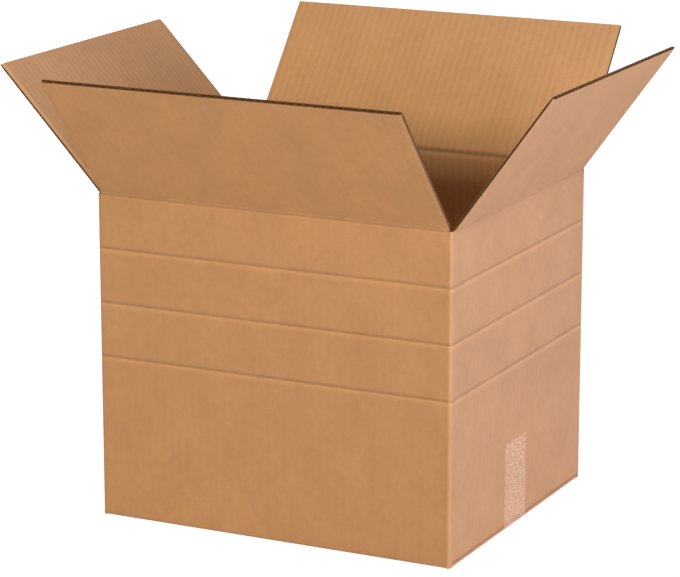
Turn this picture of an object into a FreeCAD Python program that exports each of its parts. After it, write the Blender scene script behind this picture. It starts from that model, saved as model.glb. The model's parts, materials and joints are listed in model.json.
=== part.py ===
import FreeCAD, Part
import math
import os
import Sketcher

# Open corrugated shipping box: one folded and glued sheet of C-flute board
# whose four top flaps stand open, and one strip of clear tape under it.
# Origin at the centre of the base, length along X, width along Y, height along Z.

# Driving dimensions in millimetres, leans in degrees outward from upright.
DIMENSIONS = {
    "inside_length": 355.6,
    "inside_width": 304.8,
    "crease_height": 314.3,     # floor to the middle of the top creases
    "board": 4.0,
    "layer_gap": 0.3,           # air between two sheets that lie on each other
    "seam_gap": 0.8,            # between the two outer flaps where they meet
    "slot_major": 3.5,          # from the corner to the side of a long flap
    "slot_minor": 5.0,          # from the corner to the side of a short flap
    "corner_radius": 3.4,
    "fold_radius": 3.0,
    "end_fold_radius": 1.2,
    "bottom_setback": 0.8,      # from an end wall's face to the side of a long bottom flap
    "hinge_gap": 0.3,
    "lean_front": 40.4,
    "lean_back": 39.4,
    "lean_left": 43.5,
    "lean_right": 36.0,
    "liner": 0.4,
    "medium": 0.35,
    "flute_pitch": 7.8,
    "flute_tip": 1.4,           # flat of the wave where it meets a liner
    "flute_web": 0.34,          # along the board, between neighbouring channels
    "flute_margin": 2.0,        # flutes crushed shut along a cut side
    "crush": 9.0,               # flutes crushed shut beside a crease
    "score_spacing": 52.4,
    "score_count": 3,
    "score_width": 2.2,
    "score_depth": 0.7,
    "lap_width": 35.0,
    "lap_taper": 9.0,
    "lap_margin": 14.0,         # from the folded-in flaps to the lap's ends
    "lap_slit": 0.6,
    "tape_width": 48.0,
    "tape_thickness": 0.1,
    "tape_leg": 84.0,
    "tape_offset": 7.0,         # the strip lies this far in front of the seam
}

doc = FreeCAD.newDocument("ShippingBox")
sheet = doc.addObject("Spreadsheet::Sheet", "Sizes")
for row, (alias, number) in enumerate(DIMENSIONS.items(), start=1):
    sheet.set(f"A{row}", alias)
    sheet.set(f"B{row}", str(number))
    sheet.setAlias(f"B{row}", alias)
doc.recompute()

# Distances that several pieces share, as expressions on the sheet.
HALF_L = "(Sizes.inside_length / 2 + Sizes.board)"
HALF_W = "(Sizes.inside_width / 2 + Sizes.board)"
CREASE_STEP = "(Sizes.board + Sizes.layer_gap) / 2"
MAJOR_CREASE = f"(Sizes.crease_height + {CREASE_STEP})"
MINOR_CREASE = f"(Sizes.crease_height - {CREASE_STEP})"
FLAP_LENGTH = f"({HALF_W} - Sizes.seam_gap / 2)"
INNER_FLOOR = "(Sizes.board + Sizes.layer_gap)"
ROOT_GAP = "(Sizes.hinge_gap * sqrt(2))"
CLEAR = 5.0                     # how far a cut runs past the board


def attach(body, feature_name, plane_role, offset=None):
    sketch = body.newObject("Sketcher::SketchObject", feature_name)
    plane = next(f for f in body.Origin.OriginFeatures if f.Role == plane_role)
    sketch.AttachmentSupport = [(plane, "")]
    sketch.MapMode = "FlatFace"
    if offset:
        sketch.setExpression("AttachmentOffset.Base.z", offset)
    return sketch


def hold_point(sketch, edge, end, place):
    """Ties one end of an edge to its two coordinates, given as expressions."""
    for kind, text in zip(("DistanceX", "DistanceY"), place):
        value = float(sketch.evalExpression(text))
        index = sketch.addConstraint(Sketcher.Constraint(kind, -1, 1, edge, end, value))
        sketch.setExpression(f"Constraints[{index}]", text)


def outline(sketch, corners, bends=None):
    """Adds a closed outline; bends gives (radius, centre) for each rounded edge."""
    bends = bends or {}
    places = [tuple(float(sketch.evalExpression(text)) for text in c) for c in corners]
    edges = []
    for number, start in enumerate(places):
        finish = places[(number + 1) % len(places)]
        if number not in bends:
            line = Part.LineSegment(FreeCAD.Vector(*start, 0), FreeCAD.Vector(*finish, 0))
            edges.append((sketch.addGeometry(line), 1, 2))
            continue
        radius, centre = bends[number]
        cx, cy = (float(sketch.evalExpression(text)) for text in centre)
        first = math.atan2(start[1] - cy, start[0] - cx)
        last = math.atan2(finish[1] - cy, finish[0] - cx)
        forward = math.sin(last - first) > 0
        circle = Part.Circle(FreeCAD.Vector(cx, cy, 0), FreeCAD.Vector(0, 0, 1),
                             float(sketch.evalExpression(radius)))
        low, high = (first, last) if forward else (last, first)
        arc = sketch.addGeometry(Part.ArcOfCircle(circle, low, high))
        edges.append((arc, 1, 2) if forward else (arc, 2, 1))
        index = sketch.addConstraint(Sketcher.Constraint("Radius", arc, circle.Radius))
        sketch.setExpression(f"Constraints[{index}]", radius)
    for number, (edge, begin, finish) in enumerate(edges):
        after, after_begin, _ = edges[(number + 1) % len(edges)]
        sketch.addConstraint(Sketcher.Constraint("Coincident", edge, finish, after, after_begin))
        hold_point(sketch, edge, begin, corners[number])


def rectangle(sketch, low, high):
    outline(sketch, [low, (high[0], low[1]), high, (low[0], high[1])])


def both_sides(corners):
    """The same outline on the far side of the sketch's upright axis."""
    return [(f"-({x})", y) for x, y in reversed(corners)]


def pad(body, sketch, length, centred=False):
    feature = body.newObject("PartDesign::Pad", sketch.Name + "Pad")
    feature.Profile = sketch
    if centred:
        feature.SideType = "Symmetric"
    feature.setExpression("Length", length)
    return feature


def cut(body, sketch, length, centred=False, upward=False):
    feature = body.newObject("PartDesign::Pocket", sketch.Name + "Cut")
    feature.Profile = sketch
    if centred:
        feature.SideType = "Symmetric"
    feature.Reversed = upward
    feature.setExpression("Length", length)
    return feature


def repeat(body, feature, axis_role, spacing, count):
    pattern = body.newObject("PartDesign::LinearPattern", feature.Name + "Row")
    axis = next(f for f in body.Origin.OriginFeatures if f.Role == axis_role)
    pattern.Originals = [feature]
    pattern.Direction = (axis, [""])
    pattern.Mode = "Spacing"
    pattern.setExpression("Offset", spacing)
    pattern.setExpression("Occurrences", count)
    body.Tip = pattern
    return pattern


def wall_ring(body):
    """Four upright panels joined at rounded vertical folds."""
    sketch = attach(body, "Walls", "XY_Plane")
    turn = "Sizes.corner_radius"
    near_x, near_y = f"{HALF_L} - {turn}", f"{HALF_W} - {turn}"
    outer, bends = [], {}
    for quarter, (sx, sy) in enumerate(((1, 1), (-1, 1), (-1, -1), (1, -1))):
        side = (f"{sx} * {HALF_L}", f"{sy} * ({near_y})")
        end = (f"{sx} * ({near_x})", f"{sy} * {HALF_W}")
        outer += [side, end] if quarter % 2 == 0 else [end, side]
        bends[2 * quarter] = (turn, (f"{sx} * ({near_x})", f"{sy} * ({near_y})"))
    outline(sketch, outer, bends)
    inside = ("Sizes.inside_length / 2", "Sizes.inside_width / 2")
    rectangle(sketch, tuple(f"-{text}" for text in inside), inside)
    return pad(body, sketch, MAJOR_CREASE)


def top_creases(body):
    """Bevels the walls' tops inward so that each flap can fold flat over them."""
    sketch = attach(body, "MajorBevel", "YZ_Plane")
    bevel = [(HALF_W, MAJOR_CREASE), (HALF_W, f"{MAJOR_CREASE} + {CLEAR}"),
             ("Sizes.inside_width / 2", f"{MAJOR_CREASE} + {CLEAR}"),
             ("Sizes.inside_width / 2", f"{MAJOR_CREASE} - Sizes.board")]
    outline(sketch, bevel)
    outline(sketch, both_sides(bevel))
    cut(body, sketch, f"2 * ({HALF_L} + {CLEAR})", centred=True)
    sketch = attach(body, "MinorBevel", "XZ_Plane")
    past = (f"{HALF_L} + {CLEAR}", f"{MAJOR_CREASE} + {CLEAR}")
    bevel = [(HALF_L, MINOR_CREASE), (past[0], MINOR_CREASE), past,
             ("Sizes.inside_length / 2", past[1]),
             ("Sizes.inside_length / 2", f"{MINOR_CREASE} - Sizes.board")]
    outline(sketch, bevel)
    outline(sketch, both_sides(bevel))
    return cut(body, sketch, "Sizes.inside_width", centred=True)


def folded_edge(body, name, plane_role, turn, face, inner, underside, run):
    """Rounds a wall's foot where it folds under into a bottom flap."""
    sketch = attach(body, name, plane_role)
    foot = [(f"{face} + {CLEAR}", f"{underside} + {turn}"), (face, f"{underside} + {turn}"),
            (f"{face} - {turn}", underside), (inner, underside),
            (inner, f"-{CLEAR}"), (f"{face} + {CLEAR}", f"-{CLEAR}")]
    centre = (f"{face} - {turn}", f"{underside} + {turn}")
    outline(sketch, foot, {1: (turn, centre)})
    mirrored = both_sides(foot)
    outline(sketch, mirrored, {3: (turn, (f"-({centre[0]})", centre[1]))})
    return cut(body, sketch, run, centred=True)


def bottom_flaps(body):
    """Two long flaps meet along the middle and two short ones lie on top of them."""
    folded_edge(body, "LongFold", "YZ_Plane", "Sizes.fold_radius", HALF_W,
                "Sizes.inside_width / 2", "0", f"2 * ({HALF_L} + {CLEAR})")
    folded_edge(body, "ShortFold", "XZ_Plane", "Sizes.end_fold_radius", HALF_L,
                "Sizes.inside_length / 2", INNER_FLOOR, "Sizes.inside_width")
    sketch = attach(body, "LongFlaps", "XY_Plane")
    reach = f"{HALF_L} - Sizes.bottom_setback"
    for side in ("", "-"):
        near, far = f"{side}(Sizes.seam_gap / 2)", f"{side}({HALF_W} - Sizes.fold_radius)"
        rectangle(sketch, (f"-({reach})", near), (reach, far))
    pad(body, sketch, "Sizes.board")
    sketch = attach(body, "ShortFlaps", "XY_Plane", INNER_FLOOR)
    reach = f"{HALF_W} - Sizes.slot_minor"
    for side in ("", "-"):
        near = f"{side}({HALF_L} - {FLAP_LENGTH})"
        far = f"{side}({HALF_L} - Sizes.end_fold_radius)"
        rectangle(sketch, (near, f"-({reach})"), (far, reach))
    return pad(body, sketch, "Sizes.board")


def score_lines(body):
    """Creases pressed round the panels, where the box can be cut down and refolded."""
    for name, plane_role, face, run in (("LongScore", "YZ_Plane", HALF_W, HALF_L),
                                        ("ShortScore", "XZ_Plane", HALF_L, HALF_W)):
        sketch = attach(body, name, plane_role)
        height = "Sizes.crease_height - Sizes.score_count * Sizes.score_spacing"
        notch = [(f"{face} - Sizes.score_depth", height),
                 (f"{face} + Sizes.score_depth", f"{height} - Sizes.score_width"),
                 (f"{face} + Sizes.score_depth", f"{height} + Sizes.score_width")]
        outline(sketch, notch)
        outline(sketch, both_sides(notch))
        groove = cut(body, sketch, f"2 * ({run} + {CLEAR})", centred=True)
        repeat(body, groove, "Z_Axis", "Sizes.score_spacing", "Sizes.score_count")


def glue_lap(body):
    """The sheet's end tab, glued inside the back panel at the left corner."""
    sketch = attach(body, "GlueLap", "XZ_Plane", "-Sizes.inside_width / 2")
    wall, free = "-Sizes.inside_length / 2", "-Sizes.inside_length / 2 + Sizes.lap_width"
    low = f"{INNER_FLOOR} + Sizes.board + Sizes.lap_margin"
    high = f"{MINOR_CREASE} - Sizes.board - Sizes.lap_margin"
    outline(sketch, [(wall, low), (free, f"{low} + Sizes.lap_taper"),
                     (free, f"{high} - Sizes.lap_taper"), (wall, high)])
    pad(body, sketch, "Sizes.board")
    sketch = attach(body, "LapSlit", "XY_Plane")
    edge = f"-({HALF_L} - Sizes.board)"
    rectangle(sketch, (f"{edge} - Sizes.lap_slit", f"{HALF_W} - Sizes.corner_radius"),
              (edge, f"{HALF_W} + {CLEAR}"))
    cut(body, sketch, f"{MAJOR_CREASE} + {CLEAR}", upward=True)


def tape_seat(body):
    """The tape presses its own thickness into the soft bottom flaps."""
    sketch = attach(body, "TapeSeat", "XY_Plane")
    half = "Sizes.tape_width / 2 + Sizes.layer_gap"
    rectangle(sketch, (f"-({HALF_L} + {CLEAR})", f"-Sizes.tape_offset - ({half})"),
              (f"{HALF_L} + {CLEAR}", f"-Sizes.tape_offset + ({half})"))
    return cut(body, sketch, "Sizes.tape_thickness", upward=True)


def make_box_body():
    body = doc.addObject("PartDesign::Body", "BoxBody")
    body.Label = "box_body"
    wall_ring(body)
    top_creases(body)
    bottom_flaps(body)
    glue_lap(body)
    tape_seat(body)
    score_lines(body)
    return body


def make_bottom_tape():
    """One strip under the bottom seam, turned up on both end panels."""
    body = doc.addObject("PartDesign::Body", "BottomTape")
    body.Label = "bottom_tape"
    sketch = attach(body, "TapeStrip", "XZ_Plane", "Sizes.tape_offset")
    film, turn = "Sizes.tape_thickness", "Sizes.bottom_setback"
    outside, straight = f"{HALF_L} + {film}", f"{HALF_L} - {turn}"
    bend_top = f"{film} + {turn}"
    outer = [(outside, "Sizes.tape_leg"), (outside, bend_top), (straight, "0")]
    inner = [(straight, film), (HALF_L, bend_top), (HALF_L, "Sizes.tape_leg")]
    mirrored_inner, mirrored_outer = both_sides(inner), both_sides(outer)
    corners = outer + mirrored_outer + mirrored_inner + inner
    centre = (straight, bend_top)
    far_centre = (f"-({straight})", bend_top)
    wide, tight = f"{turn} + {film}", turn
    outline(sketch, corners, {1: (wide, centre), 3: (wide, far_centre),
                              7: (tight, far_centre), 9: (tight, centre)})
    pad(body, sketch, "Sizes.tape_width", centred=True)
    return body


def make_flap(name, label, width, yaw, base, lean):
    """A flap built upright at its crease: X along the crease, Y into the box."""
    body = doc.addObject("PartDesign::Body", name)
    body.Label = label
    sketch = attach(body, name + "Board", "YZ_Plane")
    outline(sketch, [("0", ROOT_GAP), ("Sizes.board", f"{ROOT_GAP} + Sizes.board"),
                     ("Sizes.board", FLAP_LENGTH), ("0", FLAP_LENGTH)])
    pad(body, sketch, width, centred=True)
    flutes = attach(body, name + "Flute", "XY_Plane", FLAP_LENGTH)
    count = f"floor(({width} - 2 * Sizes.flute_margin) / Sizes.flute_pitch)"
    first = f"(({count} - 1) / 2 + 0.25) * Sizes.flute_pitch"
    tip = "Sizes.flute_tip / 2"
    mouth = "(Sizes.flute_pitch - Sizes.flute_tip - Sizes.flute_web) / 2"
    near, far = "Sizes.liner", "Sizes.board - Sizes.liner"
    for middle, wide_end, narrow_end in ((f"-({first})", far, f"{near} + Sizes.medium"),
                                         (f"-({first}) + Sizes.flute_pitch / 2", near,
                                          f"{far} - Sizes.medium")):
        outline(flutes, [(f"{middle} - {tip}", narrow_end), (f"{middle} + {tip}", narrow_end),
                         (f"{middle} + {mouth}", wide_end), (f"{middle} - {mouth}", wide_end)])
    channel = cut(body, flutes, f"{FLAP_LENGTH} - Sizes.crush")
    repeat(body, channel, "X_Axis", "Sizes.flute_pitch", count)
    x, y, z = base
    body.setExpression("Placement", f"placement(vector({x}; {y}; {z}); "
                                    f"rotation({yaw}; 0; Sizes.{lean}))")
    return body


major_width = f"2 * ({HALF_L} - Sizes.slot_major)"
minor_width = f"2 * ({HALF_W} - Sizes.slot_minor)"
pieces = [
    make_box_body(),
    make_bottom_tape(),
    make_flap("FlapFront", "flap_front", major_width, 0,
              ("0", f"-{HALF_W}", MAJOR_CREASE), "lean_front"),
    make_flap("FlapRight", "flap_right", minor_width, 90,
              (HALF_L, "0", MINOR_CREASE), "lean_right"),
    make_flap("FlapBack", "flap_back", major_width, 180,
              ("0", HALF_W, MAJOR_CREASE), "lean_back"),
    make_flap("FlapLeft", "flap_left", minor_width, 270,
              (f"-{HALF_L}", "0", MINOR_CREASE), "lean_left"),
]

doc.recompute()
for item in doc.Objects:
    if "Invalid" in item.State or "Error" in item.State:
        raise RuntimeError(f"{item.Label} did not build: {item.State}")
os.makedirs("parts", exist_ok=True)
for piece in pieces:
    shape = piece.Shape
    if shape.isNull() or not shape.isValid() or len(shape.Solids) != 1:
        raise RuntimeError(f"{piece.Label} is not one valid solid")
    shape.exportStep(f"parts/{piece.Label}.step")
    print(f"{piece.Label}: {shape.Volume / 1000:.1f} cm3, {len(shape.Faces)} faces")
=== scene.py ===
import json
import math
import random

import bmesh
import bpy
from mathutils import Matrix, Vector, noise


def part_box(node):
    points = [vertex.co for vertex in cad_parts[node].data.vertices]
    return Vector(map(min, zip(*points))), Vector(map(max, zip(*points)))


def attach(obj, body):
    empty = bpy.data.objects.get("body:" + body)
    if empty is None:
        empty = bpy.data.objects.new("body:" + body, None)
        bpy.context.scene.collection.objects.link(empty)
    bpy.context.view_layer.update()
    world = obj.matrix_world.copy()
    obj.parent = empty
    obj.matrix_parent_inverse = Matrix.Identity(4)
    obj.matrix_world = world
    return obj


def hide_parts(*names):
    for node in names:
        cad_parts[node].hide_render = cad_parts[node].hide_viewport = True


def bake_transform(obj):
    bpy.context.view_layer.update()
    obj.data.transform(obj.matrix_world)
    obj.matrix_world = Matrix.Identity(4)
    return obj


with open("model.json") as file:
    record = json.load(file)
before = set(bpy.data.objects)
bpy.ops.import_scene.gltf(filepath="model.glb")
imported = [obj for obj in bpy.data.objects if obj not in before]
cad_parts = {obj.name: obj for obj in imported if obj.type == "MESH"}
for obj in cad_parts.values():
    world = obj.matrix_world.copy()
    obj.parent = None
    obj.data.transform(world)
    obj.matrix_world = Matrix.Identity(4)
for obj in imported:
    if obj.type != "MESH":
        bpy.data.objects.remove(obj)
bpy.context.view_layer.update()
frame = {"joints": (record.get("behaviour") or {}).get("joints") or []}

random.seed(14)
mm = 0.001

boardSpec = {
    "thick": 4.0 * mm,
    "liner": 0.35 * mm,
    "medium": 0.28 * mm,
    "pitch": 7.8 * mm,
    "columnsPerFlute": 10,
    "rowsAlong": 9,
    "ripple": 0.03 * mm,
    "rootPace": 0.5,            # the ripple grows at this pace from the crease
    "wavePlay": 0.97,           # the wave stays this much short of the liners
    "edgeCrush": {"long": 0.16, "short": 0.50},     # share of the thickness lost along a cut side
    "endCrush": 0.4,            # share of that which the free end loses
    "crushReach": 5.0 * mm,
    "seamGap": 0.4 * mm,        # what a flap stays short of the box's middle
    "stackLift": 0.3 * mm,      # height left under the short bottom flaps for tape and air
}
sharpAngle = math.radians(55.0)     # edges that turn by more stay sharp
mergeReach = 1e-6
leastArea = 1e-12

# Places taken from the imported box: wall faces, crease heights and the flaps' half widths.
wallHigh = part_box("box_body")[1]
halfLength, halfWidth = wallHigh.x, wallHigh.y
creases = {joint["child"]: joint for joint in frame["joints"]}
majorTop = creases["front"]["pos_m"][2]
minorTop = creases["left"]["pos_m"][2]
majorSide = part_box("flap_front")[1].x
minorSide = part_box("flap_left")[1].y
flapReach = halfWidth - boardSpec["seamGap"]
insideX, insideY = halfLength - boardSpec["thick"], halfWidth - boardSpec["thick"]
innerFloor = boardSpec["thick"] + boardSpec["stackLift"]
stripReach = 6.0 * mm           # how far a crease strip runs each side of its crease
panelStep = 43 * boardSpec["pitch"]     # whole flutes from one panel's middle to the next on the flat sheet


def smooth(low, high, value):
    share = min(max((value - low) / (high - low), 0.0), 1.0)
    return share * share * (3.0 - 2.0 * share)


# Node trees: a node is added with its settings and its inputs, values or other nodes' outputs.
def addNode(tree, kind, inputs=None, **settings):
    node = tree.nodes.new(kind)
    for name, value in settings.items():
        setattr(node, name, value)
    for key, value in (inputs or {}).items():
        if isinstance(value, bpy.types.NodeSocket):
            tree.links.new(value, node.inputs[key])
        else:
            node.inputs[key].default_value = value
    return node


def calc(tree, operation, *values):
    kind = "ShaderNodeMath"
    return addNode(tree, kind, dict(enumerate(values)), operation=operation).outputs[0]


def openSockets(tree, inputs, outputs):
    for name, kind in inputs:
        tree.interface.new_socket(name, in_out="INPUT", socket_type=kind)
    for name, kind in outputs:
        tree.interface.new_socket(name, in_out="OUTPUT", socket_type=kind)
    return tree.nodes.new("NodeGroupInput").outputs, tree.nodes.new("NodeGroupOutput").inputs


# Kraft paper: slow mottling, long fibres, fine flecks, and the flutes showing through as bump relief and as
# painted shade of their ridges; creases and grooves get painted shade and painted highlight.
paperSpec = {
    "layers": {                 # noise scale, stretch on the flat sheet, detail
        "clouds": (26.0, (1.0, 0.7, 1.0), 4.0),
        "blots": (120.0, (1.0, 0.8, 1.0), 3.0),
        "fibres": (900.0, (0.2, 1.0, 1.0), 2.0),
        "threads": (700.0, (1.0, 0.05, 1.0), 2.0),
        "flecks": (1500.0, (0.5, 1.0, 1.0), 1.0),
    },
    "noiseRoughness": 0.55,
    "tone": {"clouds": 0.26, "blots": 0.18, "fibres": 0.10, "threads": 0.05, "flecks": -0.07},
    "fleckLimit": 0.68,         # noise above this is a fleck
    # Strengths of the painted highlight and painted shade at creases and score grooves.
    "paintedFoldHighlight": 0.16,
    "paintedFoldShade": 0.30,
    "roughMiddle": 0.80,
    "roughSpread": 0.18,
    "ridgeHeight": 1.6,         # relief of the washboard for each unit of its painted shade
    "specular": 0.22,
}


def makeKraftGroup():
    tree = bpy.data.node_groups.new("kraftPaper", "ShaderNodeTree")
    given, result = openSockets(
        tree,
        [("Tint", "NodeSocketColor"), ("Mottle", "NodeSocketFloat"), ("Washboard Shade And Relief", "NodeSocketFloat"),
         ("Pitch", "NodeSocketFloat"), ("Grain", "NodeSocketFloat")],
        [("Color", "NodeSocketColor"), ("Roughness", "NodeSocketFloat"), ("Height", "NodeSocketFloat")],
    )
    sheet = addNode(tree, "ShaderNodeAttribute", attribute_name="sheet").outputs["Vector"]
    fold = addNode(tree, "ShaderNodeAttribute", attribute_name="fold").outputs["Vector"]

    def layer(scale, stretch, detail):
        mapped = addNode(tree, "ShaderNodeMapping", {"Vector": sheet, "Scale": stretch}).outputs[0]
        return addNode(tree, "ShaderNodeTexNoise", {"Vector": mapped, "Scale": scale, "Detail": detail,
                                                    "Roughness": paperSpec["noiseRoughness"]}).outputs["Fac"]

    def centred(value, amount):
        return calc(tree, "MULTIPLY", calc(tree, "SUBTRACT", value, 0.5), amount)

    clouds, blots, fibres, threads, flecks = (layer(*spec) for spec in paperSpec["layers"].values())
    share = paperSpec["tone"]
    across = addNode(tree, "ShaderNodeSeparateXYZ", {0: sheet}).outputs[0]
    turns = calc(tree, "DIVIDE", across, given["Pitch"])
    ridge = calc(tree, "COSINE", calc(tree, "MULTIPLY", turns, math.tau))
    mottle = given["Mottle"]
    tone = calc(tree, "MULTIPLY", centred(clouds, share["clouds"]), mottle)
    tone = calc(tree, "ADD", tone, calc(tree, "MULTIPLY", centred(blots, share["blots"]), mottle))
    tone = calc(tree, "ADD", tone, centred(fibres, share["fibres"]))
    tone = calc(tree, "ADD", tone, centred(threads, share["threads"]))
    # Painted shade of the flute ridges, in stripes across the sheet.
    tone = calc(tree, "ADD", tone, calc(tree, "MULTIPLY", ridge, given["Washboard Shade And Relief"]))
    flecked = calc(tree, "GREATER_THAN", flecks, paperSpec["fleckLimit"])
    tone = calc(tree, "ADD", tone, calc(tree, "MULTIPLY", flecked, share["flecks"]))
    tone = calc(tree, "ADD", tone, 1.0)
    # Painted shade in creases and score grooves and painted highlight beside them, from the fold attribute.
    paintedFoldLight = addNode(tree, "ShaderNodeSeparateXYZ", {0: fold})
    paintedShadeAndHighlight = calc(tree, "SUBTRACT", calc(tree, "MULTIPLY", paintedFoldLight.outputs[1], paperSpec["paintedFoldHighlight"]),
                calc(tree, "MULTIPLY", paintedFoldLight.outputs[0], paperSpec["paintedFoldShade"]))
    tone = calc(tree, "ADD", tone, paintedShadeAndHighlight)
    shaded = addNode(tree, "ShaderNodeVectorMath", {0: given["Tint"], "Scale": tone}, operation="SCALE")
    tree.links.new(shaded.outputs[0], result["Color"])
    rough = calc(tree, "ADD", centred(blots, paperSpec["roughSpread"]), paperSpec["roughMiddle"])
    tree.links.new(rough, result["Roughness"])
    height = calc(tree, "MULTIPLY", calc(tree, "ADD", fibres, threads), given["Grain"])
    relief = calc(tree, "MULTIPLY", given["Washboard Shade And Relief"], paperSpec["ridgeHeight"])
    height = calc(tree, "ADD", height, calc(tree, "MULTIPLY", ridge, relief))
    tree.links.new(height, result["Height"])
    return tree


kraftGroup = makeKraftGroup()


def principled(name):
    material = bpy.data.materials.new(name)
    material.use_nodes = True
    tree = material.node_tree
    return material, tree, tree.nodes["Principled BSDF"]


def kraftMaterial(name, tint, mottle, washboardShadeAndRelief=0.0, grain=0.5, bump=0.12 * mm):
    material, tree, shader = principled(name)
    paper = addNode(tree, "ShaderNodeGroup", node_tree=kraftGroup)
    settings = {"Tint": (*tint, 1.0), "Mottle": mottle, "Washboard Shade And Relief": washboardShadeAndRelief,
                "Pitch": boardSpec["pitch"], "Grain": grain}
    for key, value in settings.items():
        paper.inputs[key].default_value = value
    relief = addNode(tree, "ShaderNodeBump", {"Height": paper.outputs["Height"], "Distance": bump,
                                              "Strength": 1.0})
    tree.links.new(paper.outputs["Color"], shader.inputs["Base Color"])
    tree.links.new(paper.outputs["Roughness"], shader.inputs["Roughness"])
    tree.links.new(relief.outputs[0], shader.inputs["Normal"])
    shader.inputs["Specular IOR Level"].default_value = paperSpec["specular"]
    return material


finishes = {
    "outerLiner": {"tint": (0.500, 0.271, 0.129), "mottle": 1.0, "washboardShadeAndRelief": 0.006},
    "innerLiner": {"tint": (0.710, 0.395, 0.195), "mottle": 0.8, "washboardShadeAndRelief": 0.036},
    "fluteMedium": {"tint": (0.200, 0.095, 0.038), "mottle": 1.2},
    # The cut edge's dark tone is partly the paper's own edge and partly painted shade of the open flutes,
    # where one face closes the whole board.
    "cutEdgeAndFluteShade": {"tint": (0.150, 0.068, 0.025), "mottle": 3.2, "grain": 1.0, "bump": 0.3 * mm},
}
papers = [kraftMaterial(name, **spec) for name, spec in finishes.items()]
outerLiner, innerLiner, fluteMedium, cutEdgeAndFluteShade = papers
print("stage: kraft finishes made")


# A fluted board as a rule: two liners and a wave between them, crushed thinner towards its cuts.
# This group gives one layer its thickness, with its own paper on the face, the back and the rim.
def makeThickenGroup():
    tree = bpy.data.node_groups.new("thickenSheet", "GeometryNodeTree")
    given, result = openSockets(
        tree,
        [("Mesh", "NodeSocketGeometry"), ("Thickness", "NodeSocketFloat"), ("Face", "NodeSocketMaterial"),
         ("Back", "NodeSocketMaterial"), ("Rim", "NodeSocketMaterial")],
        [("Mesh", "NodeSocketGeometry")],
    )
    raised = addNode(tree, "GeometryNodeExtrudeMesh",
                     {"Mesh": given["Mesh"], "Offset Scale": given["Thickness"], "Individual": False})
    faced = addNode(tree, "GeometryNodeSetMaterial", {"Geometry": raised.outputs["Mesh"],
                                                      "Material": given["Face"]})
    flat = addNode(tree, "GeometryNodeSetShadeSmooth", {"Geometry": faced.outputs[0], "Shade Smooth": True})
    rimmed = addNode(tree, "GeometryNodeSetMaterial", {"Geometry": flat.outputs[0], "Material": given["Rim"],
                                                       "Selection": raised.outputs["Side"]})
    rimFlat = addNode(tree, "GeometryNodeSetShadeSmooth",
                      {"Geometry": rimmed.outputs[0], "Shade Smooth": False,
                       "Selection": raised.outputs["Side"]})
    under = addNode(tree, "GeometryNodeFlipFaces", {"Mesh": given["Mesh"]})
    underSmooth = addNode(tree, "GeometryNodeSetShadeSmooth",
                          {"Geometry": under.outputs[0], "Shade Smooth": True})
    backed = addNode(tree, "GeometryNodeSetMaterial", {"Geometry": underSmooth.outputs[0],
                                                       "Material": given["Back"]})
    joined = addNode(tree, "GeometryNodeJoinGeometry")
    tree.links.new(rimFlat.outputs[0], joined.inputs[0])
    tree.links.new(backed.outputs[0], joined.inputs[0])
    merged = addNode(tree, "GeometryNodeMergeByDistance",
                     {"Geometry": joined.outputs[0], "Distance": mergeReach})
    tree.links.new(merged.outputs[0], result["Mesh"])
    return tree


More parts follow.
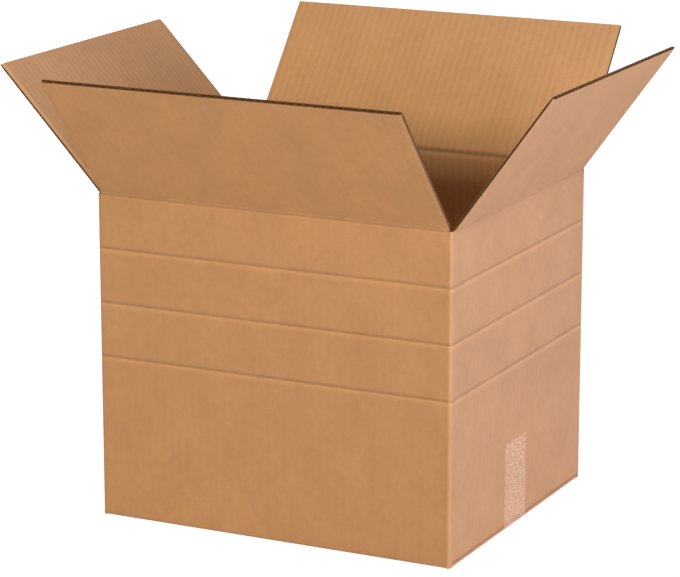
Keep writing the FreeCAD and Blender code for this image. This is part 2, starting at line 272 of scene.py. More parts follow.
def makeBoardTree():
    tree = bpy.data.node_groups.new("flutedBoard", "GeometryNodeTree")
    number, material = "NodeSocketFloat", "NodeSocketMaterial"
    given, result = openSockets(
        tree,
        [("Geometry", "NodeSocketGeometry"), ("Width", number), ("Length", number), ("Thick", number),
         ("Liner", number), ("Medium", number), ("Pitch", number), ("Columns Per Flute", number),
         ("Ripple", number), ("Edge Crush", number), ("Crush Reach", number), ("Sheet Start", number),
         ("Sheet Middle", number), ("Outer", material), ("Inner", material), ("Wave", material),
         ("Cut", material)],
        [("Geometry", "NodeSocketGeometry")],
    )
    flutes = calc(tree, "DIVIDE", given["Width"], given["Pitch"])
    columns = calc(tree, "FLOOR", calc(tree, "MULTIPLY", flutes, given["Columns Per Flute"]))
    grid = addNode(tree, "GeometryNodeMeshGrid",
                   {"Size X": given["Width"], "Size Y": 1.0, "Vertices X": columns,
                    "Vertices Y": boardSpec["rowsAlong"]})
    place = addNode(tree, "GeometryNodeInputPosition").outputs[0]
    axes = addNode(tree, "ShaderNodeSeparateXYZ", {0: place}).outputs
    # Rows bunch towards both ends, where the board is crushed.
    along = calc(tree, "MULTIPLY", calc(tree, "SINE", calc(tree, "MULTIPLY", axes[1], math.pi)), 0.5)
    along = calc(tree, "MULTIPLY", calc(tree, "ADD", along, 0.5), given["Length"])
    spread = addNode(tree, "ShaderNodeCombineXYZ", {0: axes[0], 1: along, 2: 0.0}).outputs[0]
    laid = addNode(tree, "GeometryNodeSetPosition", {"Geometry": grid.outputs["Mesh"], "Position": spread})
    halfWide = calc(tree, "DIVIDE", given["Width"], 2.0)
    fromSide = calc(tree, "SUBTRACT", halfWide, calc(tree, "ABSOLUTE", axes[0]))
    fromEnd = calc(tree, "SUBTRACT", given["Length"], axes[1])
    fromRoot = calc(tree, "MULTIPLY", axes[1], boardSpec["rootPace"])

    def eased(distance):
        return addNode(tree, "ShaderNodeMapRange", {0: distance, 1: 0.0, 2: given["Crush Reach"]},
                       interpolation_type="SMOOTHSTEP").outputs[0]

    sideEase, endEase, rootEase = eased(fromSide), eased(fromEnd), eased(fromRoot)
    sideLost = calc(tree, "MULTIPLY", calc(tree, "SUBTRACT", 1.0, sideEase), given["Edge Crush"])
    endCrush = calc(tree, "MULTIPLY", given["Edge Crush"], boardSpec["endCrush"])
    endLost = calc(tree, "MULTIPLY", calc(tree, "SUBTRACT", 1.0, endEase), endCrush)
    squeeze = calc(tree, "SUBTRACT", 1.0, calc(tree, "ADD", sideLost, endLost))
    turns = calc(tree, "DIVIDE", axes[0], given["Pitch"])
    wave = calc(tree, "COSINE", calc(tree, "MULTIPLY", turns, math.tau))
    halfThick = calc(tree, "DIVIDE", given["Thick"], 2.0)
    thicken = makeThickenGroup()

    def layer(height, thickness, face, back):
        offset = addNode(tree, "ShaderNodeCombineXYZ", {0: 0.0, 1: 0.0, 2: height}).outputs[0]
        moved = addNode(tree, "GeometryNodeSetPosition", {"Geometry": laid.outputs[0], "Offset": offset})
        return addNode(tree, "GeometryNodeGroup", {"Mesh": moved.outputs[0], "Thickness": thickness,
                                                   "Face": face, "Back": back, "Rim": given["Cut"]},
                       node_tree=thicken).outputs[0]

    ripple = calc(tree, "MULTIPLY", calc(tree, "MULTIPLY", wave, given["Ripple"]), rootEase)
    rippleUp = calc(tree, "SUBTRACT", ripple, given["Ripple"])
    rippleDown = calc(tree, "ADD", ripple, given["Ripple"])
    top = calc(tree, "SUBTRACT", calc(tree, "MULTIPLY", halfThick, squeeze), given["Liner"])
    top = calc(tree, "ADD", top, calc(tree, "MULTIPLY", rippleUp, rootEase))
    bottom = calc(tree, "MULTIPLY", calc(tree, "MULTIPLY", halfThick, squeeze), -1.0)
    bottom = calc(tree, "ADD", bottom, calc(tree, "MULTIPLY", rippleDown, rootEase))
    halfMedium = calc(tree, "DIVIDE", given["Medium"], 2.0)
    swing = calc(tree, "SUBTRACT", calc(tree, "SUBTRACT", halfThick, given["Liner"]), halfMedium)
    middle = calc(tree, "MULTIPLY", calc(tree, "MULTIPLY", swing, squeeze), wave)
    middle = calc(tree, "SUBTRACT", calc(tree, "MULTIPLY", middle, boardSpec["wavePlay"]), halfMedium)
    joined = addNode(tree, "GeometryNodeJoinGeometry")
    for part in (layer(top, given["Liner"], given["Inner"], given["Wave"]),
                 layer(middle, given["Medium"], given["Wave"], given["Wave"]),
                 layer(bottom, given["Liner"], given["Wave"], given["Outer"])):
        tree.links.new(part, joined.inputs[0])
    sheetV = calc(tree, "ADD", axes[1], given["Sheet Start"])
    sheetU = calc(tree, "ADD", axes[0], given["Sheet Middle"])
    sheetPlace = addNode(tree, "ShaderNodeCombineXYZ", {0: sheetU, 1: sheetV, 2: 0.0}).outputs[0]
    stored = addNode(tree, "GeometryNodeStoreNamedAttribute",
                     {"Geometry": joined.outputs[0], "Name": "sheet", "Value": sheetPlace},
                     data_type="FLOAT_VECTOR", domain="POINT")
    whole = addNode(tree, "GeometryNodeRealizeInstances", {"Geometry": stored.outputs[0]})
    tree.links.new(whole.outputs[0], result["Geometry"])
    return tree


boardTree = makeBoardTree()


def linkPiece(name, mesh):
    piece = bpy.data.objects.new(name, mesh)
    bpy.context.scene.collection.objects.link(piece)
    return piece


# A plain mesh from points and skinned faces, with each point's place on the flat sheet and its folds.
def makeMesh(name, points, faces, skins, sheets, folds):
    faces = [face for face in faces if faceArea([points[corner] for corner in face[0]]) > leastArea]
    mesh = bpy.data.meshes.new(name)
    mesh.from_pydata(points, [], [corners for corners, skin in faces])
    for skin in skins:
        mesh.materials.append(skin)
    mesh.polygons.foreach_set("material_index", [skin for corners, skin in faces])
    for key, values in (("sheet", sheets), ("fold", folds)):
        attribute = mesh.attributes.new(key, "FLOAT_VECTOR", "POINT")
        attribute.data.foreach_set("vector", [part for value in values for part in value])
    bm = bmesh.new()
    bm.from_mesh(mesh)
    bmesh.ops.remove_doubles(bm, verts=bm.verts, dist=mergeReach)
    bm.to_mesh(mesh)
    bm.free()
    mesh.polygons.foreach_set("use_smooth", [True] * len(mesh.polygons))
    mesh.set_sharp_from_angle(angle=sharpAngle)
    return linkPiece(name, mesh)


def faceArea(corners):
    fan = zip(corners[1:], corners[2:])
    parts = ((Vector(b) - Vector(corners[0])).cross(Vector(c) - Vector(corners[0])) for b, c in fan)
    return sum(parts, Vector()).length / 2


# One flap from the board's rule, as a plain mesh moved to its place.
def makeBoard(name, width, length, sheetStart, sheetMiddle, place, crush=boardSpec["edgeCrush"]["long"]):
    carrier = linkPiece(name + "Carrier", bpy.data.meshes.new(name + "Carrier"))
    modifier = carrier.modifiers.new("board", "NODES")
    modifier.node_group = boardTree
    values = {"Width": width, "Length": length, "Thick": boardSpec["thick"], "Liner": boardSpec["liner"],
              "Medium": boardSpec["medium"], "Pitch": boardSpec["pitch"],
              "Columns Per Flute": boardSpec["columnsPerFlute"], "Ripple": boardSpec["ripple"],
              "Edge Crush": crush, "Crush Reach": boardSpec["crushReach"],
              "Sheet Start": sheetStart, "Sheet Middle": sheetMiddle,
              "Outer": outerLiner, "Inner": innerLiner, "Wave": fluteMedium, "Cut": cutEdgeAndFluteShade}
    for item in boardTree.interface.items_tree:
        if item.item_type == "SOCKET" and item.in_out == "INPUT" and item.name in values:
            value = values[item.name]
            modifier[item.identifier] = value if item.socket_type == "NodeSocketMaterial" else float(value)
    bpy.context.view_layer.update()
    seen = carrier.evaluated_get(bpy.context.evaluated_depsgraph_get())
    mesh = bpy.data.meshes.new_from_object(seen)
    bpy.data.objects.remove(carrier)
    mesh.transform(place)
    mesh.set_sharp_from_angle(angle=sharpAngle)
    mesh.name = name
    return linkPiece(name, mesh)


# The walls in their order on the sheet: turn about Z, the flap's half width, the wall's half length and
# the crease's height. Upright and leaning are the flap's own axes at its crease.
panels = {
    "front": {"turn": 0.0, "side": majorSide, "reach": halfLength, "top": majorTop, "kind": "long"},
    "right": {"turn": 90.0, "side": minorSide, "reach": halfWidth, "top": minorTop, "kind": "short"},
    "back": {"turn": 180.0, "side": majorSide, "reach": halfLength, "top": majorTop, "kind": "long"},
    "left": {"turn": 270.0, "side": minorSide, "reach": halfWidth, "top": minorTop, "kind": "short"},
}
for panelNumber, (panelName, panel) in enumerate(panels.items()):
    joint = creases[panelName]
    panel["lean"] = math.radians(joint["range_deg"][1] - 90.0)
    panel["middle"] = panelNumber * panelStep
    upright = Matrix.Rotation(math.radians(panel["turn"]), 4, "Z")
    panel["upright"] = Matrix.Translation(joint["pos_m"]) @ upright
    panel["leaning"] = panel["upright"] @ Matrix.Rotation(panel["lean"], 4, "X")

for panelName, panel in panels.items():
    # The grid's X runs along the crease, its Y up the flap, and its upper face looks into the box.
    turned = Matrix(((1, 0, 0, 0), (0, 0, 1, boardSpec["thick"] / 2), (0, 1, 0, stripReach), (0, 0, 0, 1)))
    flap = makeBoard("flap_" + panelName + "_board", 2 * panel["side"], flapReach - stripReach,
                     panel["top"] + stripReach, panel["middle"], panel["leaning"] @ turned,
                     boardSpec["edgeCrush"][panel["kind"]])
    # That swap of two axes mirrors the mesh, so its faces are turned round.
    bm = bmesh.new()
    bm.from_mesh(flap.data)
    bmesh.ops.reverse_faces(bm, faces=bm.faces)
    bm.to_mesh(flap.data)
    bm.free()
    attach(flap, panelName)
    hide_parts("flap_" + panelName)
print("stage: four top flaps made")

# Crease strips, bent to their flaps' lean; section points are (up the sheet, in from the outer face,
# painted shade, painted highlight).
creaseSpec = {
    "long": [(-6.0, 0.0, 0.0, 0.0), (-5.0, 0.0, 0.0, 0.3), (-4.2, 0.08, 0.0, 0.4), (-3.5, 0.3, 0.45, 0.0),
             (-2.8, 0.42, 0.75, 0.0), (-2.0, 0.25, 0.55, 0.0), (-1.2, 0.05, 0.4, 0.0), (-0.3, 0.0, 0.35, 0.0),
             (0.8, 0.0, 0.1, 0.0), (2.5, 0.0, 0.0, 0.0), (6.0, 0.0, 0.0, 0.0)],
    "short": [(-6.0, 0.0, 0.0, 0.0), (-3.0, 0.0, 0.1, 0.0), (-1.6, 0.05, 0.1, 0.0), (-0.7, 0.2, 0.15, 0.0),
              (0.0, 0.3, 0.25, 0.0), (0.7, 0.2, 0.15, 0.0), (1.6, 0.05, 0.0, 0.0), (3.0, 0.0, 0.0, 0.0),
              (6.0, 0.0, 0.0, 0.0)],
    "inner": [(6.0, 4.0, 0.0, 0.0), (2.3, 4.0, 0.0, 0.0), (1.5, 3.4, 0.3, 0.0), (0.7, 2.5, 1.0, 0.0),
              (0.0, 2.2, 1.5, 0.0), (-0.7, 2.5, 1.0, 0.0), (-1.5, 3.4, 0.3, 0.0), (-2.3, 4.0, 0.0, 0.0),
              (-6.0, 4.0, 0.0, 0.0)],
    "turning": 1.5 * mm,
    "spacing": 8.0 * mm,
    "sideColumns": [0.0, 1.0, 2.0, 3.5, 5.0],
    "drift": 0.15 * mm,
    "bendReach": 2.5 * mm,
}


def stripColumns(side):
    near = [side - step * mm for step in creaseSpec["sideColumns"]]
    count = round(2 * near[-1] / creaseSpec["spacing"])
    between = [near[-1] * (2 * step / count - 1) for step in range(1, count)]
    return [-x for x in near] + between + near[::-1]


def makeCreaseStrip(panelName, panel):
    outside = creaseSpec[panel["kind"]]
    section = outside + creaseSpec["inner"]
    half, turning = boardSpec["thick"] / 2, creaseSpec["turning"]
    columns = stripColumns(panel["side"])
    points, sheets, folds, faces = [], [], [], []
    for column, x in enumerate(columns):
        inside = 0 < column < len(columns) - 1
        drift = random.uniform(-1.0, 1.0) * creaseSpec["drift"] if inside else 0.0
        pressed = 1.0 - smooth(0.0, boardSpec["crushReach"], panel["side"] - abs(x))
        cut = boardSpec["edgeCrush"][panel["kind"]] * pressed
        for s, d, paintedShade, paintedHighlight in section:
            up = s * mm + drift * (1.0 - abs(s) * mm / stripReach)
            share = smooth(-turning, turning, up)
            inward = half + (d * mm - half) * (1.0 - cut * share)
            angle = panel["lean"] * share
            spot = Vector((x, inward * math.cos(angle) - up * math.sin(angle),
                           inward * math.sin(angle) + up * math.cos(angle)))
            points.append(tuple(panel["upright"] @ spot))
            sheets.append((panel["middle"] + x, panel["top"] + up, 0.0))
            # The fold attribute carries the crease's painted shade and painted highlight.
            folds.append((paintedShade, paintedHighlight, 0.0))
    count, bend = len(section), len(outside)
    for column in range(len(columns) - 1):
        for step in range(count):
            after = (step + 1) % count
            corners = (column * count + step, (column + 1) * count + step,
                       (column + 1) * count + after, column * count + after)
            skin = 2 if step in (bend - 1, count - 1) else int(step >= bend)
            faces.append((corners, skin))
    last = (len(columns) - 1) * count
    faces.append((tuple(range(count)), 2))
    faces.append((tuple(range(last + count - 1, last - 1, -1)), 2))
    strip = makeMesh("crease_" + panelName, points, faces, (outerLiner, innerLiner, cutEdgeAndFluteShade), sheets, folds)
    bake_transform(strip)


for panelName, panel in panels.items():
    makeCreaseStrip(panelName, panel)
print("stage: crease strips made")

# The walls as one ring of columns round the box; grooves are (height, depth, painted shade, painted
# highlight).
shellSpec = {
    "cornerRadius": 3.4 * mm,
    "cornerSteps": 6,
    "cornerGroove": 0.3,        # share of a groove's depth that is left at the corners
    "grooveFade": 25.0 * mm / 3,
    "footSteps": 4,
    "footRadius": {"long": 3.0 * mm, "short": 1.2 * mm, "corner": 0.0},
    "cornerFoot": 0.3 * mm,
    "bottomSetback": 0.8 * mm,
    "slotFloor": 313.8 * mm,
    "spacing": 8.0 * mm,
    "scoreStep": 52.4 * mm,
    "scoreCount": 3,
    "groove": [(-6.0, 0.0, 0.0, 0.0), (-4.2, 0.04, 0.0, 0.25), (-2.8, 0.12, 0.0, 0.6), (-1.6, 0.25, 0.0, 1.1),
               (-0.7, 0.45, 0.1, 0.7), (0.1, 0.60, 0.6, 0.0), (0.9, 0.52, 0.7, 0.0), (1.7, 0.3, 0.5, 0.0),
               (2.6, 0.08, 0.2, 0.0), (3.6, 0.0, 0.0, 0.0)],
    "plainRows": [15.0, 30.0, 60.0, 90.0, 120.0, 140.0],
    "upperRows": [288.0, 300.0],
    "bow": 0.22 * mm,
    "bowFade": 25.0 * mm,
    "bowNoise": (9.0, 0.3),     # scale and slice
    "slitPlaces": (177.8 * mm, 178.4 * mm),
    "slitDepth": 3.4 * mm,
}


# Rows from a wall's foot up: depth of the outer face, its height, the inner face's height, painted shade,
# painted highlight.
def wallRows(kind):
    thick, bend = boardSpec["thick"], shellSpec["footRadius"][kind]
    tops = {"long": majorTop - stripReach, "short": minorTop - stripReach, "corner": shellSpec["slotFloor"]}
    unders = {"long": 0.0, "short": innerFloor, "corner": shellSpec["cornerFoot"]}
    top, under = tops[kind], unders[kind]
    rows = []
    for step in range(shellSpec["footSteps"] + 1):
        swing = math.radians(90.0 * step / shellSpec["footSteps"])
        if kind == "corner":
            rows.append((0.0, under, under, 0.0, 0.0))
        else:
            rows.append((bend * (1.0 - math.sin(swing)), under + bend * (1.0 - math.cos(swing)),
                         under + thick, 0.0, 0.0))
    rows += [(0.0, z * mm, z * mm, 0.0, 0.0) for z in shellSpec["plainRows"]]
    creaseMiddle = (majorTop + minorTop) / 2
    for score in range(shellSpec["scoreCount"], 0, -1):
        height = creaseMiddle - score * shellSpec["scoreStep"]
        for rise, depth, paintedShade, paintedHighlight in shellSpec["groove"]:
            z = height + rise * mm
            rows.append((depth * mm, z, z, paintedShade, paintedHighlight))
        if score > 1:
            z = height + shellSpec["scoreStep"] / 2
            rows.append((0.0, z, z, 0.0, 0.0))
    rows += [(0.0, z * mm, z * mm, 0.0, 0.0) for z in shellSpec["upperRows"]]
    rows.append((0.0, top, top, 0.0, 0.0))
    return rows


# Each column: place and outward way on its panel, rows that it takes, extra depth and sheet place.
def ringColumns():
    columns, order = [], list(panels.values())
    radius = shellSpec["cornerRadius"]
    for number, panel in enumerate(order):
        following = order[(number + 1) % len(order)]
        slitHere = panel is panels["back"]
        first, last = -panel["side"], shellSpec["slitPlaces"][0] if slitHere else panel["side"]
        count = round((last - first) / shellSpec["spacing"])

        def add(x, y, way, kind, extra=0.0, along=None):
            columns.append({"panel": panel, "place": (x, y), "way": way, "kind": kind, "extra": extra,
                            "u": panel["middle"] + (x if along is None else along)})

        for step in range(count + 1):
            add(first + (last - first) * step / count, 0.0, (0.0, -1.0), panel["kind"])
        add(last, 0.0, (0.0, -1.0), "corner")
        if slitHere:
            low, high = shellSpec["slitPlaces"]
            for x, extra in ((low, shellSpec["slitDepth"]), (high, shellSpec["slitDepth"]), (high, 0.0)):
                add(x, 0.0, (0.0, -1.0), "corner", extra)
        steps = shellSpec["cornerSteps"]
        for step in range(steps + 1):
            angle = math.radians(90.0) * (step / steps - 1.0)
            way = (math.cos(angle), math.sin(angle))
            add(panel["reach"] - radius + radius * way[0], radius + radius * way[1], way, "corner",
                along=panel["reach"] - radius + radius * math.radians(90.0) * step / steps)
        slotWidth = following["reach"] - following["side"]
        add(panel["reach"], slotWidth, (1.0, 0.0), "corner",
            along=panel["reach"] + slotWidth - radius * (2.0 - math.pi / 2))
    return columns


def makeShell():
    columns = ringColumns()
    rows = {kind: wallRows(kind) for kind in ("long", "short", "corner")}
    rowCount = len(rows["corner"])
    noiseScale, noiseSlice = shellSpec["bowNoise"]
    aboveFoot = shellSpec["footRadius"]["long"] + boardSpec["thick"]
    points, sheets, folds, faces = [], [], [], []
    for column in columns:
        panel, (x, y), way = column["panel"], column["place"], column["way"]
        edge = panel["upright"] @ Vector((x, y, 0.0))
        outward = panel["upright"].to_3x3() @ Vector((way[0], way[1], 0.0))
        inner = (min(max(edge.x, -insideX), insideX), min(max(edge.y, -insideY), insideY))
        ringRows = rows[column["kind"]]
        fade = share = 0.0
        if column["kind"] != "corner":
            fade = smooth(0.0, shellSpec["bowFade"], panel["reach"] - abs(x))
            share = smooth(0.0, shellSpec["grooveFade"], panel["reach"] - abs(x))
        share = shellSpec["cornerGroove"] + (1.0 - shellSpec["cornerGroove"]) * share
        for depth, z, innerZ, paintedShade, paintedHighlight in ringRows:
            if z > aboveFoot:
                depth *= share
            ends = min(z, ringRows[-1][1] - z)
            spotNoise = noise.noise(Vector((column["u"] * noiseScale, z * noiseScale, noiseSlice)))
            wave = spotNoise * 0.5 + 0.5
            bow = shellSpec["bow"] * wave * fade * smooth(0.0, shellSpec["bowFade"], ends)
            spot = edge - outward * (depth + column["extra"] + bow)
            points.append((spot.x, spot.y, z))
            sheets.append((column["u"], z, 0.0))
            # The fold attribute carries the grooves' painted shade and painted highlight.
            folds.append((paintedShade, paintedHighlight, 0.0))
        for depth, z, innerZ, paintedShade, paintedHighlight in ringRows:
            points.append((*inner, max(z, innerZ)))
            sheets.append((column["u"], z, 0.0))
            folds.append((0.0, 0.0, 0.0))

    def at(column, layer, row):
        return ((column % len(columns)) * 2 + layer) * rowCount + row

    for column in range(len(columns)):
        following, top = column + 1, rowCount - 1
        for row in range(top):
            faces.append(((at(column, 0, row), at(following, 0, row),
                           at(following, 0, row + 1), at(column, 0, row + 1)), 0))
            faces.append(((at(column, 1, row), at(column, 1, row + 1),
                           at(following, 1, row + 1), at(following, 1, row)), 1))
        faces.append(((at(column, 0, 0), at(column, 1, 0), at(following, 1, 0), at(following, 0, 0)), 2))
        faces.append(((at(column, 0, top), at(following, 0, top),
                       at(following, 1, top), at(column, 1, top)), 2))
    shell = makeMesh("box_walls", points, faces, (outerLiner, innerLiner, cutEdgeAndFluteShade), sheets, folds)
    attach(shell, "box")
    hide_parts("box_body")


makeShell()
print("stage: walls made")

# Bottom flaps, folded in from the walls' feet: turn, half width, face of their wall and height.
seatLift = 0.12 * mm            # the long flaps' height above the floor, over the tape's film
bottomSheetStart = -0.2         # where the bottom flaps' paper starts on the flat sheet
longSide = halfLength - shellSpec["bottomSetback"]
floorFlaps = {
    "floor_front": (0.0, longSide, halfWidth, seatLift, "long"),
    "floor_right": (90.0, minorSide, halfLength, innerFloor, "short"),
    "floor_back": (180.0, longSide, halfWidth, seatLift, "long"),
    "floor_left": (270.0, minorSide, halfLength, innerFloor, "short"),
}
for floorNumber, (floorName, spec) in enumerate(floorFlaps.items()):
    turn, side, wallFace, height, kind = spec
    foldReach = shellSpec["footRadius"][kind]
    place = Matrix.Rotation(math.radians(turn), 4, "Z") @ Matrix.Translation(
        (0.0, foldReach - wallFace, height + boardSpec["thick"] / 2))
    flap = makeBoard(floorName, 2 * side, flapReach - foldReach, bottomSheetStart,
                     floorNumber * panelStep, place)
    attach(flap, "box")


# The long bottom flaps' sides, pressed shut, show plain paper at the end walls' feet.
def makeFloorSides():
    points, faces = [], []
    reach, thin = halfWidth - shellSpec["footRadius"]["long"], boardSpec["liner"]
    for outer, inner in ((longSide, longSide - thin), (-longSide, thin - longSide)):
        first = len(points)
        points += [(x, y, z) for x in sorted((outer, inner)) for y in (-reach, reach)
                   for z in (seatLift, seatLift + boardSpec["thick"])]
        for corners in ((0, 1, 3, 2), (4, 6, 7, 5), (0, 4, 5, 1), (2, 3, 7, 6), (0, 2, 6, 4), (1, 5, 7, 3)):
            faces.append((tuple(first + corner for corner in corners), 0))
    sheets = [(y, z, 0.0) for x, y, z in points]
    sides = makeMesh("floor_sides", points, faces, (outerLiner,), sheets, [(0.0, 0.0, 0.0)] * len(points))
    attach(sides, "box")


makeFloorSides()
print("stage: bottom flaps made")

# The sheet's end tab, glued inside the back wall at the left corner.
lapSpec = {
    "width": 35.0 * mm,
    "taper": 9.0 * mm,
    "low": 22.3 * mm,
    "high": 294.15 * mm,
    "air": 0.05 * mm,
    "sheetMiddle": 3.5 * panelStep,
}


def makeGlueLap():
    wall, free = -insideX, lapSpec["width"] - insideX
    low, high, taper = lapSpec["low"], lapSpec["high"], lapSpec["taper"]
    outline = [(wall, low), (free, low + taper), (free, high - taper), (wall, high)]
    near, far = insideY - boardSpec["thick"], insideY - lapSpec["air"]
    points = [(x, near, z) for x, z in outline] + [(x, far, z) for x, z in outline]
    faces = [((0, 1, 2, 3), 0), ((7, 6, 5, 4), 0)]
    faces += [((corner, corner + 4, (corner + 1) % 4 + 4, (corner + 1) % 4), 1) for corner in range(4)]
    sheets = [(x + lapSpec["sheetMiddle"], z, 0.0) for x, y, z in points]
    lap = makeMesh("glue_lap", points, faces, (innerLiner, cutEdgeAndFluteShade), sheets, [(0.0, 0.0, 0.0)] * len(points))
    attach(lap, "box")


makeGlueLap()
print("stage: glue lap made")

# Clear packing tape under the seam, turned up on both end walls and torn off on a serrated blade.
tapeSpec = {
    "film": 0.06 * mm,
    "bend": 0.9 * mm,
    "bendSteps": 6,
    "legStep": 4.0 * mm,
    "baseStep": 9.0 * mm,
    "columns": 120,
    "toothColumns": 2,
    "toothDepth": 0.6 * mm,
    "edgeBand": 1.1 * mm,
    "gripNoise": {"Scale": 240.0, "Detail": 4.0, "Roughness": 0.62},
    "gripRange": (0.36, 0.66),
    "cover": (0.04, 0.28),      # how much the film hides, where it grips least and most
    "edgeCover": 0.16,
    "tint": (0.82, 0.62, 0.43),
    "roughness": 0.26,
}


def makeTapeFinish():
    material, tree, shader = principled("packingTape")
    sheet = addNode(tree, "ShaderNodeAttribute", attribute_name="sheet").outputs["Vector"]
    fold = addNode(tree, "ShaderNodeAttribute", attribute_name="fold").outputs["Vector"]
    grip = addNode(tree, "ShaderNodeTexNoise", {"Vector": sheet, **tapeSpec["gripNoise"]}).outputs["Fac"]
    limits = dict(enumerate((*tapeSpec["gripRange"], *tapeSpec["cover"]), 1))
    patch = addNode(tree, "ShaderNodeMapRange", {0: grip, **limits}).outputs[0]
    edge = addNode(tree, "ShaderNodeSeparateXYZ", {0: fold}).outputs[1]
    cover = calc(tree, "ADD", patch, calc(tree, "MULTIPLY", edge, tapeSpec["edgeCover"]))
    # The film throws no shadow on the board that it clings to.
    shadow = addNode(tree, "ShaderNodeLightPath").outputs["Is Shadow Ray"]
    cover = calc(tree, "MULTIPLY", cover, calc(tree, "SUBTRACT", 1.0, shadow))
    tree.links.new(cover, shader.inputs["Alpha"])
    shader.inputs["Base Color"].default_value = (*tapeSpec["tint"], 1.0)
    shader.inputs["Roughness"].default_value = tapeSpec["roughness"]
    return material


# The film's line seen from the front: x, z and the way out of the box at each row.
def tapePath():
    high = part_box("bottom_tape")[1]
    bend, steps = tapeSpec["bend"], tapeSpec["bendSteps"]
    legRows = round((high.z - bend) / tapeSpec["legStep"])
    leg = [(high.x, high.z - (high.z - bend) * step / legRows, 1.0, 0.0) for step in range(legRows)]
    arc = []
    for step in range(steps + 1):
        swing = math.radians(90.0) * step / steps
        arc.append((high.x - bend + bend * math.cos(swing), bend - bend * math.sin(swing),
                    math.cos(swing), -math.sin(swing)))
    half = leg + arc
    reach = high.x - bend
    baseRows = round(2 * reach / tapeSpec["baseStep"])
    base = [(reach * (1.0 - 2.0 * step / baseRows), 0.0, 0.0, -1.0) for step in range(1, baseRows)]
    return half + base + [(-x, z, -nx, nz) for x, z, nx, nz in reversed(half)]


def makeTape():
    low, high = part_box("bottom_tape")
    path, columns = tapePath(), tapeSpec["columns"]
    width = high.y - low.y
    points, sheets, folds, faces = [], [], [], []
    for number, (x, z, nx, nz) in enumerate(path):
        atEnd = number in (0, len(path) - 1)
        for layer in (0.0, tapeSpec["film"]):
            for column in range(columns + 1):
                y = low.y + width * column / columns
                tooth = tapeSpec["toothDepth"] * (column % tapeSpec["toothColumns"] != 0) if atEnd else 0.0
                points.append((x - nx * layer, y, z - nz * layer - tooth))
                sheets.append((number * tapeSpec["legStep"], y, 0.0))
                border = min(y - low.y, high.y - y)
                folds.append((0.0, 1.0 - smooth(0.0, tapeSpec["edgeBand"], border), 0.0))
    span = columns + 1

    def at(row, layer, column):
        return (row * 2 + layer) * span + column

    last = len(path) - 1
    for row in range(last):
        for column in range(columns):
            faces.append(((at(row, 0, column), at(row + 1, 0, column),
                           at(row + 1, 0, column + 1), at(row, 0, column + 1)), 0))
            faces.append(((at(row, 1, column), at(row, 1, column + 1),
                           at(row + 1, 1, column + 1), at(row + 1, 1, column)), 0))
        faces.append(((at(row, 0, 0), at(row, 1, 0), at(row + 1, 1, 0), at(row + 1, 0, 0)), 0))
        faces.append(((at(row, 0, columns), at(row + 1, 0, columns),
                       at(row + 1, 1, columns), at(row, 1, columns)), 0))
    for column in range(columns):
        faces.append(((at(0, 0, column), at(0, 0, column + 1), at(0, 1, column + 1), at(0, 1, column)), 0))
        faces.append(((at(last, 0, column), at(last, 1, column),
                       at(last, 1, column + 1), at(last, 0, column + 1)), 0))
    tape = makeMesh("packing_tape", points, faces, (makeTapeFinish(),), sheets, folds)
    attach(tape, "box")
    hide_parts("bottom_tape")


makeTape()
print("stage: tape made")


# Floor, backdrop, light and camera.
stageSpec = {
    "floorSize": 14.0,
    "floorDrop": 0.2 * mm,
    "floorTint": (0.86, 0.86, 0.86, 1.0),
    "floorRoughness": 0.9,
    "white": (1.0, 1.0, 1.0, 1.0),
    "glow": 1.25,
    "glowShare": 0.75,          # the camera sees this much glow, and the rest keeps the shadow
    "worldTint": (1.0, 0.985, 0.97, 1.0),
    "worldLight": 0.03,
    "lampAim": (0.0, 0.0, 0.25),
}


def makeStage():
    bpy.ops.mesh.primitive_plane_add(size=stageSpec["floorSize"],
                                     location=(0.0, 0.0, -stageSpec["floorDrop"]))
    floor = bpy.context.object
    floor.name = "floor"
    material, tree, shader = principled("paleFloor")
    shader.inputs["Base Color"].default_value = stageSpec["floorTint"]
    shader.inputs["Roughness"].default_value = stageSpec["floorRoughness"]
    glow = addNode(tree, "ShaderNodeEmission", {"Color": stageSpec["white"], "Strength": stageSpec["glow"]})
    path = addNode(tree, "ShaderNodeLightPath")
    share = calc(tree, "MULTIPLY", path.outputs["Is Camera Ray"], stageSpec["glowShare"])
    mixed = addNode(tree, "ShaderNodeMixShader", {0: share, 1: shader.outputs[0], 2: glow.outputs[0]})
    tree.links.new(mixed.outputs[0], tree.nodes["Material Output"].inputs["Surface"])
    floor.data.materials.append(material)


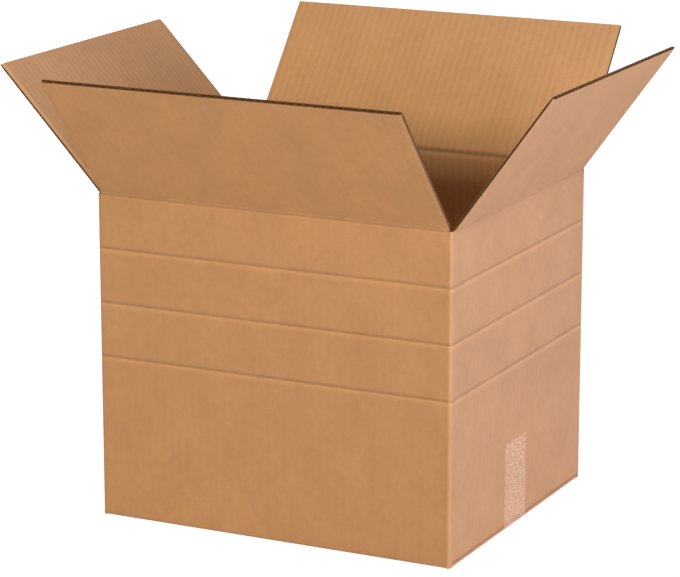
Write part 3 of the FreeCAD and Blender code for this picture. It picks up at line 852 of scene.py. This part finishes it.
def makeWorld():
    world = bpy.data.worlds.new("studio")
    bpy.context.scene.world = world
    world.use_nodes = True
    tree = world.node_tree
    soft = tree.nodes["Background"]
    soft.inputs["Color"].default_value = stageSpec["worldTint"]
    soft.inputs["Strength"].default_value = stageSpec["worldLight"]
    white = addNode(tree, "ShaderNodeBackground", {"Color": stageSpec["white"], "Strength": 1.0})
    path = addNode(tree, "ShaderNodeLightPath")
    seen = calc(tree, "MAXIMUM", path.outputs["Is Camera Ray"],
                calc(tree, "MAXIMUM", path.outputs["Is Glossy Ray"], path.outputs["Is Transmission Ray"]))
    mixed = addNode(tree, "ShaderNodeMixShader", {0: seen, 1: soft.outputs[0], 2: white.outputs[0]})
    tree.links.new(mixed.outputs[0], tree.nodes["World Output"].inputs["Surface"])


lamps = {
    "topLamp": {"place": (-1.43, -0.40, 2.5), "size": 0.8, "watts": 11.5, "tint": (1.0, 0.94, 0.64)},
    "highLamp": {"place": (0.5, -3.0, 1.22), "size": 0.5, "watts": 59.0, "tint": (1.0, 0.89, 0.70)},
    "sideLamp": {"place": (3.0, -0.4, 0.40), "size": 1.6, "watts": 126.0, "tint": (0.75, 0.78, 1.0)},
    "backLamp": {"place": (-2.3, 2.6, 0.35), "size": 1.4, "watts": 110.0, "tint": (1.0, 0.95, 0.88)},
}


def makeLamp(name, spec):
    light = bpy.data.lights.new(name, "AREA")
    light.shape = "SQUARE"
    light.size = spec["size"]
    light.energy = spec["watts"]
    light.color = spec["tint"]
    lamp = bpy.data.objects.new(name, light)
    bpy.context.scene.collection.objects.link(lamp)
    lamp.location = spec["place"]
    aim = Vector(stageSpec["lampAim"]) - lamp.location
    lamp.rotation_euler = aim.to_track_quat("-Z", "Y").to_euler()


cameraSpec = {                  # lengths of the photo in pixels, angles in radians
    "photoWidth": 680,
    "focalLength": 3036.49,
    "sensorWidth": 36.0,
    "farLimit": 40.0,
    "place": (1.249828, -2.538966, 0.915680),
    "downward": 0.2452,
    "turn": 0.4595,
}


def makeCamera():
    data = bpy.data.cameras.new("photoCamera")
    data.sensor_width = cameraSpec["sensorWidth"]
    data.lens = cameraSpec["focalLength"] / cameraSpec["photoWidth"] * data.sensor_width
    data.clip_end = cameraSpec["farLimit"]
    camera = bpy.data.objects.new("photoCamera", data)
    bpy.context.scene.collection.objects.link(camera)
    camera.location = cameraSpec["place"]
    camera.rotation_euler = (math.radians(90.0) - cameraSpec["downward"], 0.0, cameraSpec["turn"])
    bpy.context.scene.camera = camera


makeStage()
makeWorld()
for lampName, lampSpec in lamps.items():
    makeLamp(lampName, lampSpec)
makeCamera()
bpy.context.scene.view_settings.view_transform = "Standard"
print("stage: stage, light and camera set")
